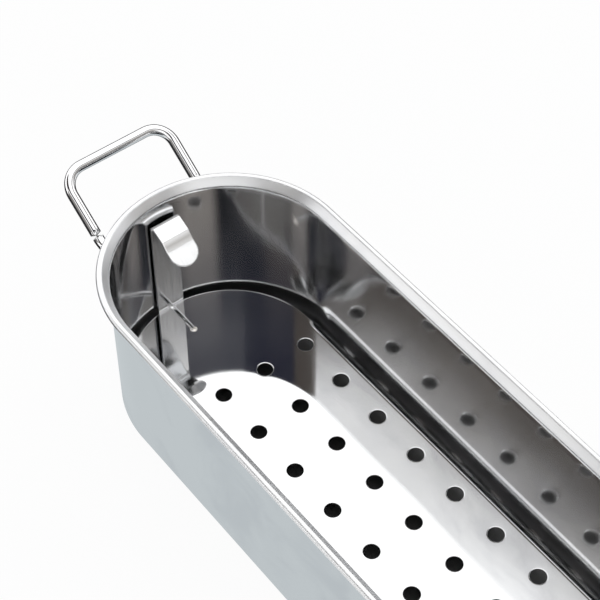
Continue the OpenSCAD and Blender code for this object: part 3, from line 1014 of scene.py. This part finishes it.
def steel(name, clear, filmed, lines, film, roughness, relief, anisotropy=0.0, changes=()):
    """Polished steel. lines is (kind of coordinates, scale), film is (scale, low, high) of the wiped patches,
    roughness is (clear, filmed, what the lines add) and relief is the height of the lines in metres. changes
    lists (axis, low, high, change) of the roughness: from low to high along the axis it changes by that."""
    if name in bpy.data.materials:
        return bpy.data.materials[name]
    material = bpy.data.materials.new(name)
    material.use_nodes = True
    tree = material.node_tree
    shader = tree.nodes["Principled BSDF"]
    shader.inputs["Metallic"].default_value = 1.0
    shader.inputs["Anisotropic"].default_value = anisotropy
    spot = put(tree, "ShaderNodeTexCoord")
    grain_from = spot.outputs["Object"]
    if lines[0] == "UV":
        grain_from = put(tree, "ShaderNodeUVMap", uv_map="grain").outputs[0]
    polish = use(tree, polish_lines(), Vector=grain_from, Along=lines[1])
    patches = use(tree, wiped_film(), Vector=spot.outputs["Object"], Scale=film[0], Low=film[1], High=film[2])
    mix = blend(tree, patches.outputs["Mask"], clear, filmed)
    base = span(tree, patches.outputs["Mask"], 0, 1, roughness[0], roughness[1])
    lined = span(tree, polish.outputs["Lines"], *LINE_NOISE, 0.0, roughness[2])
    rough = sums(tree, "ADD", base, lined)
    axes = put(tree, "ShaderNodeSeparateXYZ", {0: spot.outputs["Object"]}).outputs
    for axis, low, high, change in changes:
        along = sums(tree, "ABSOLUTE", axes[axis], 0.0)
        rough = sums(tree, "ADD", rough, span(tree, along, low, high, 0.0, change))
    bump = put(tree, "ShaderNodeBump", {
        "Height": polish.outputs["Lines"], "Distance": relief, "Strength": 1.0,
    })
    tree.links.new(mix, shader.inputs["Base Color"])
    tree.links.new(rough, shader.inputs["Roughness"])
    tree.links.new(bump.outputs[0], shader.inputs["Normal"])
    if anisotropy:
        tangent = put(tree, "ShaderNodeTangent", direction_type="UV_MAP", uv_map="grain")
        tree.links.new(tangent.outputs[0], shader.inputs["Tangent"])
        shader.inputs["Anisotropic Rotation"].default_value = 0.25
    return material


def finish():
    """The colours that a user sets."""
    return bpy.context.scene.poacher_finish


# Height from which the rim's flare and bead are satin
RIM_LOW = WALL_TOP.z - 0.005


def wall_material():
    """Sheet polished along the wall, so its fine lines run level and smear reflections upright. The polish is
    better above the foot and above the middle, and the rim is satin."""
    f = finish()
    above_foot = ("Z", 0.016, 0.024, -0.045)
    above_middle = ("Z", 0.060, 0.090, -0.02)
    at_rim = ("Z", RIM_LOW - 0.0006, RIM_LOW + 0.0006, 0.27)
    return steel("wall_polish", f.sheet, f.sheet_dull, lines=("UV", (40, 2600, 1)), film=(22, 0.42, 0.7),
                 roughness=(0.150, 0.155, 0.006), relief=1e-7, anisotropy=0.5,
                 changes=(above_foot, above_middle, at_rim))


def floor_material():
    """Satin floor, its colours kept dark as painted shade under the rack."""
    f = finish()
    return steel("floor_satin_painted_shade", f.floor, f.shaded_floor_film, lines=("Object", (60, 1800, 60)), film=(16, 0.4, 0.7),
                 roughness=(0.52, 0.60, 0.03), relief=1e-7)


def rod_material():
    """Bright drawn rod."""
    f = finish()
    return steel("rod_polish", f.rod, f.sheet_dull, lines=("UV", (60, 1400, 1)), film=(45, 0.5, 0.8),
                 roughness=(0.05, 0.10, 0.04), relief=1e-6)


def weld_material():
    """Weld dressed by hand, with a straw tint."""
    f = finish()
    return steel("weld_dressed", f.weld, f.heat, lines=("Object", (900, 900, 900)), film=(160, 0.45, 0.7),
                 roughness=(0.16, 0.3, 0.12), relief=1e-5)


def plate_material():
    """Mirror sheet with faint lines."""
    f = finish()
    return steel("plate_mirror", f.sheet, f.sheet_dull, lines=("Object", (900, 40, 40)), film=(18, 0.5, 0.8),
                 roughness=(0.02, 0.04, 0.015), relief=3e-7)


def tab_material():
    """Strip with a soft polish, a little brighter at the lip."""
    f = finish()
    return steel("tab_polish", f.sheet, f.sheet_dull, lines=("UV", (30, 900, 1)), film=(35, 0.5, 0.8),
                 roughness=(0.15, 0.18, 0.03), relief=5e-7, changes=(("Z", 0.076, 0.086, -0.05),))


# The studio

# Where a part of the surroundings is absent and where it is full, as the upward share of a direction
LOW_SCREENS = (0.34, 0.08)
GREY_RIGHT_TOP = (0.62, 0.52)
GREY_RIGHT_FOOT = (0.15, 0.30)
GREY_LEFT_TOP = (0.58, 0.50)
# The same as its level share away from the camera, which is below 0 on the camera's side
ROOM_PAST_OBJECT = (0.3, 0.5)
PAST_OBJECT = (0.0, 0.12)
GREY_BEFORE = (0.2, -0.1)
CAMERA_WIDE = (-0.3, -0.45)
CAMERA_MIDDLE = (-0.45, -0.62)
CAMERA_NARROW = (-0.85, -0.95)
# The same as its level share to the camera's right, which is below 0 on the left
BAND_BESIDE = (0.68, 0.85)
GREY_RIGHT = (0.45, 0.75)
BAND_TO_RIGHT = (0.12, 0.36)
GREY_LEFT = (-0.3, -0.45)
BAND_TO_LEFT = (-0.45, -0.75)
SCREENS_FROM_LEFT = (-0.7, -0.2)
BAND_FAR_LEFT = (-0.80, -0.93)
# Upward steps from the overhead light's edge to the edge's own softness and to the band's darkest part
BOX_SOFT, RIM_BAND = (-0.004, 0.004), (-0.040, -0.024)
# How far the light's edge moves in behind the camera, as an upward share
BOX_CUT = 0.03
# Upward steps from the band's lower edge to the pale room, and how much lower the band reaches behind the
# camera and at the far left
BELOW_BAND, BAND_REACH, BAND_LEFT_REACH = (0.02, -0.03), 0.05, 0.17
# The overhead light's side, as steps of slope from it: where the light dims and to what, and where it ends
SIDE_DIMS, SIDE_DIM, SIDE_ENDS = (-0.020, -0.002), 0.66, (0.009, 0.0)
# The narrow gap in it, as steps of slope from its start, and what is left of the light there
GAP_STARTS, GAP_ENDS, GAP_LIGHT = (-0.0005, 0.0005), (0.013, 0.010), 0.04
# The brown strip, as steps of slope from the light's side
STRIP_STARTS, STRIP_ENDS = (0.028, 0.046), (0.062, 0.048)


def from_edge(edge, steps):
    """Both steps counted from an edge."""
    return edge + steps[0], edge + steps[1]


class POACHER_OT_studio(bpy.types.Operator):
    """Sets the floor, the surroundings and the camera."""

    bl_idname = "poacher.studio"
    bl_label = "Studio"

    def execute(self, context):
        studio = context.scene.poacher_studio
        self.floor(studio)
        self.world(context.scene, studio)
        self.camera(context.scene, studio)
        context.scene.view_settings.view_transform = "Standard"
        return {"FINISHED"}

    def floor(self, studio):
        """A plain pale floor that keeps a soft shadow. The camera sees it near white. Polished steel sees a
        pale patch round the pot, white along the sides farther out, and a dark screen beyond the ends."""
        reach = 3.0
        mesh = bpy.data.meshes.new("studio_floor")
        corners = [(-reach, -reach, 0), (reach, -reach, 0), (reach, reach, 0), (-reach, reach, 0)]
        mesh.from_pydata(corners, [], [(0, 1, 2, 3)])
        floor = bpy.data.objects.new("studio_floor", mesh)
        bpy.context.scene.collection.objects.link(floor)
        material = bpy.data.materials.new("studio_floor")
        material.use_nodes = True
        tree = material.node_tree
        shader = tree.nodes["Principled BSDF"]
        shader.inputs["Base Color"].default_value = (*studio.floor, 1)
        shader.inputs["Roughness"].default_value = 0.9
        shader.inputs["Specular IOR Level"].default_value = 0.1
        near_edge, screen_edge, end_stretch, glow_share = (0.145, 0.165), (0.235, 0.26), 1.3, 0.94
        spot = put(tree, "ShaderNodeTexCoord").outputs["Object"]
        axes = put(tree, "ShaderNodeSeparateXYZ", {0: spot}).outputs
        along = sums(tree, "ABSOLUTE", axes["X"], 0.0)
        past = sums(tree, "MAXIMUM", sums(tree, "SUBTRACT", along, FLOOR_TOP.x - FLOOR_TOP.y), 0.0)
        past = product(tree, past, end_stretch)
        apart = put(tree, "ShaderNodeCombineXYZ", {"X": past, "Y": axes["Y"]}).outputs[0]
        apart = vectors(tree, "LENGTH", apart, output="Value")
        ray = put(tree, "ShaderNodeLightPath").outputs
        outer = blend(tree, span(tree, along, *screen_edge), studio.floor_side, studio.floor_far)
        mirrored = blend(tree, span(tree, apart, *near_edge, kind="SMOOTHSTEP"), studio.floor_near, outer)
        tone = blend(tree, ray["Is Camera Ray"], mirrored, (1, 1, 1))
        glow = put(tree, "ShaderNodeEmission", {"Color": tone, "Strength": 1.0})
        part = sums(tree, "MAXIMUM", product(tree, ray["Is Camera Ray"], glow_share), ray["Is Glossy Ray"])
        mix = put(tree, "ShaderNodeMixShader", {0: part, 1: shader.outputs[0], 2: glow.outputs[0]})
        tree.links.new(mix.outputs[0], tree.nodes["Material Output"].inputs["Surface"])
        mesh.materials.append(material)

    def world(self, scene, studio):
        """Plain white to the camera, and the surroundings to everything else."""
        world = bpy.data.worlds.new("studio_light")
        scene.world = world
        world.use_nodes = True
        tree = world.node_tree
        tree.nodes.clear()
        up, behind, aside, slope = self.directions(tree, studio)
        overhead, strip = self.overhead(tree, studio, up, behind, slope)
        room = self.room(tree, studio, up, behind, aside)
        lit = blend(tree, overhead, room, (studio.box_light,) * 3)
        lit = blend(tree, strip, lit, studio.side_strip)
        seen = put(tree, "ShaderNodeLightPath").outputs["Is Camera Ray"]
        shown = blend(tree, seen, lit, (1, 1, 1))
        surroundings = put(tree, "ShaderNodeBackground", {"Color": shown, "Strength": 1.0})
        out = put(tree, "ShaderNodeOutputWorld")
        tree.links.new(surroundings.outputs[0], out.inputs["Surface"])

    def directions(self, tree, studio):
        """What tells a direction: its upward share, its level shares away from the camera and to the
        camera's right, and its slope, the share to -Y over the upward share."""
        way = put(tree, "ShaderNodeTexCoord").outputs["Generated"]
        axes = put(tree, "ShaderNodeSeparateXYZ", {0: way}).outputs
        level = vectors(tree, "NORMALIZE", vectors(tree, "MULTIPLY", way, (1, 1, 0)))
        sine, cosine = math.sin(studio.turn), math.cos(studio.turn)
        behind = vectors(tree, "DOT_PRODUCT", level, (-sine, cosine, 0), "Value")
        aside = vectors(tree, "DOT_PRODUCT", level, (cosine, sine, 0), "Value")
        up = axes["Z"]
        slope = sums(tree, "DIVIDE", product(tree, axes["Y"], -1.0), sums(tree, "MAXIMUM", up, 0.01))
        return up, behind, aside, slope

    def overhead(self, tree, studio, up, behind, slope):
        """Masks of the broad light overhead and of the brown strip beside it. The light ends sharply all
        round, and sooner behind the camera. To its side it dims before it ends, and past the object a narrow
        gap crosses it."""
        edge = math.cos(studio.box_edge)
        cut = product(tree, span(tree, behind, *CAMERA_MIDDLE), BOX_CUT)
        top = span(tree, sums(tree, "SUBTRACT", up, cut), *from_edge(edge, BOX_SOFT))
        past = span(tree, behind, *PAST_OBJECT)
        dimmed = span(tree, slope, *from_edge(studio.box_side, SIDE_DIMS), 1.0, SIDE_DIM)
        ended = span(tree, slope, *from_edge(studio.box_side, SIDE_ENDS))
        gap = masks(
            tree,
            (slope, *from_edge(studio.box_gap, GAP_STARTS)),
            (slope, *from_edge(studio.box_gap, GAP_ENDS)),
        )
        left = span(tree, product(tree, gap, past), 0, 1, 1.0, GAP_LIGHT)
        strip = product(
            tree,
            span(tree, slope, *from_edge(studio.box_side, STRIP_STARTS), kind="SMOOTHSTEP"),
            span(tree, slope, *from_edge(studio.box_side, STRIP_ENDS)),
            past,
            top,
        )
        return product(tree, top, dimmed, ended, left), strip

    def room(self, tree, studio, up, behind, aside):
        """The room round the overhead light: a dark band in several tones, a pale room below it and past the
        object, greyer low down on both sides of the camera, and dark screens low round the object."""
        edge, low = math.cos(studio.box_edge), math.cos(studio.band_edge)
        lifted = sums(tree, "ADD", up, product(tree, span(tree, behind, *CAMERA_NARROW), BAND_REACH))
        lifted = sums(tree, "ADD", lifted, product(tree, span(tree, aside, *BAND_FAR_LEFT), BAND_LEFT_REACH))
        below = span(tree, lifted, *from_edge(low, BELOW_BAND), kind="SMOOTHSTEP")
        to_left = span(tree, aside, *BAND_TO_LEFT, kind="SMOOTHSTEP")
        to_right = span(tree, aside, *BAND_TO_RIGHT, kind="SMOOTHSTEP")
        band = blend(tree, to_left, studio.band_middle, studio.band_left)
        band = blend(tree, to_right, band, studio.band_right)
        band = blend(tree, span(tree, aside, *BAND_BESIDE), band, studio.band_beside)
        rim = product(
            tree,
            span(tree, up, *from_edge(edge, RIM_BAND), kind="SMOOTHSTEP"),
            span(tree, behind, *CAMERA_WIDE, kind="SMOOTHSTEP"),
        )
        band = blend(tree, rim, band, studio.band_rim)
        pale = (studio.room_light,) * 3
        grey_right = masks(
            tree, (aside, *GREY_RIGHT), (behind, *GREY_BEFORE), (up, *GREY_RIGHT_TOP), (up, *GREY_RIGHT_FOOT)
        )
        room = blend(tree, below, band, blend(tree, grey_right, pale, studio.low_right))
        room = blend(tree, span(tree, behind, *ROOM_PAST_OBJECT, kind="SMOOTHSTEP"), room, pale)
        grey_left = masks(tree, (aside, *GREY_LEFT), (behind, *CAMERA_WIDE), (up, *GREY_LEFT_TOP))
        room = blend(tree, grey_left, room, studio.low_left)
        screens = product(
            tree, span(tree, up, *LOW_SCREENS, kind="SMOOTHSTEP"), span(tree, aside, *SCREENS_FROM_LEFT)
        )
        return blend(tree, screens, room, studio.horizon)

    def camera(self, scene, studio):
        """Stands back from the look-at point by the turn and rise, with a slight roll."""
        back = Vector((
            math.sin(studio.turn) * math.cos(studio.rise),
            -math.cos(studio.turn) * math.cos(studio.rise),
            math.sin(studio.rise),
        ))
        right = Vector((math.cos(studio.turn), math.sin(studio.turn), 0))
        up = back.cross(right)
        c, s = math.cos(studio.roll), math.sin(studio.roll)
        axes = Matrix((c * right + s * up, c * up - s * right, back)).transposed()
        camera = bpy.data.objects.new("camera", bpy.data.cameras.new("camera"))
        camera.data.lens = studio.lens
        camera.data.clip_start = 0.01
        camera.matrix_world = Matrix.Translation(Vector(studio.look) + studio.distance * back) @ axes.to_4x4()
        scene.collection.objects.link(camera)
        scene.camera = camera


OPERATORS = [
    POACHER_OT_studio,
    POACHER_OT_wall,
    POACHER_OT_floor,
    POACHER_OT_handles,
    POACHER_OT_plate,
    POACHER_OT_tabs,
    POACHER_OT_tab_welds,
    POACHER_OT_feet,
]


class POACHER_PT_panel(bpy.types.Panel):
    """Lists the sizes, the colours and the operators."""

    bl_label = "Fish poacher"
    bl_idname = "POACHER_PT_panel"
    bl_space_type = "VIEW_3D"
    bl_region_type = "UI"
    bl_category = "Poacher"

    def draw(self, context):
        for name, made in GROUPS.items():
            box = self.layout.box()
            box.label(text=made.__doc__)
            for key in made.__annotations__:
                box.prop(getattr(context.scene, name), key)
        for operator in OPERATORS:
            self.layout.operator(operator.bl_idname)


def register():
    """Registers the classes and hangs the properties on the scene."""
    for made in (*GROUPS.values(), *OPERATORS, POACHER_PT_panel):
        bpy.utils.register_class(made)
    for name, made in GROUPS.items():
        setattr(bpy.types.Scene, name, bpy.props.PointerProperty(type=made))


def unregister():
    """Takes the properties and the classes away again."""
    for name in GROUPS:
        delattr(bpy.types.Scene, name)
    for made in reversed((*GROUPS.values(), *OPERATORS, POACHER_PT_panel)):
        bpy.utils.unregister_class(made)


def main():
    register()
    for operator in OPERATORS:
        family, name = operator.bl_idname.split(".")
        getattr(getattr(bpy.ops, family), name)()


if __name__ == "__main__":
    main()
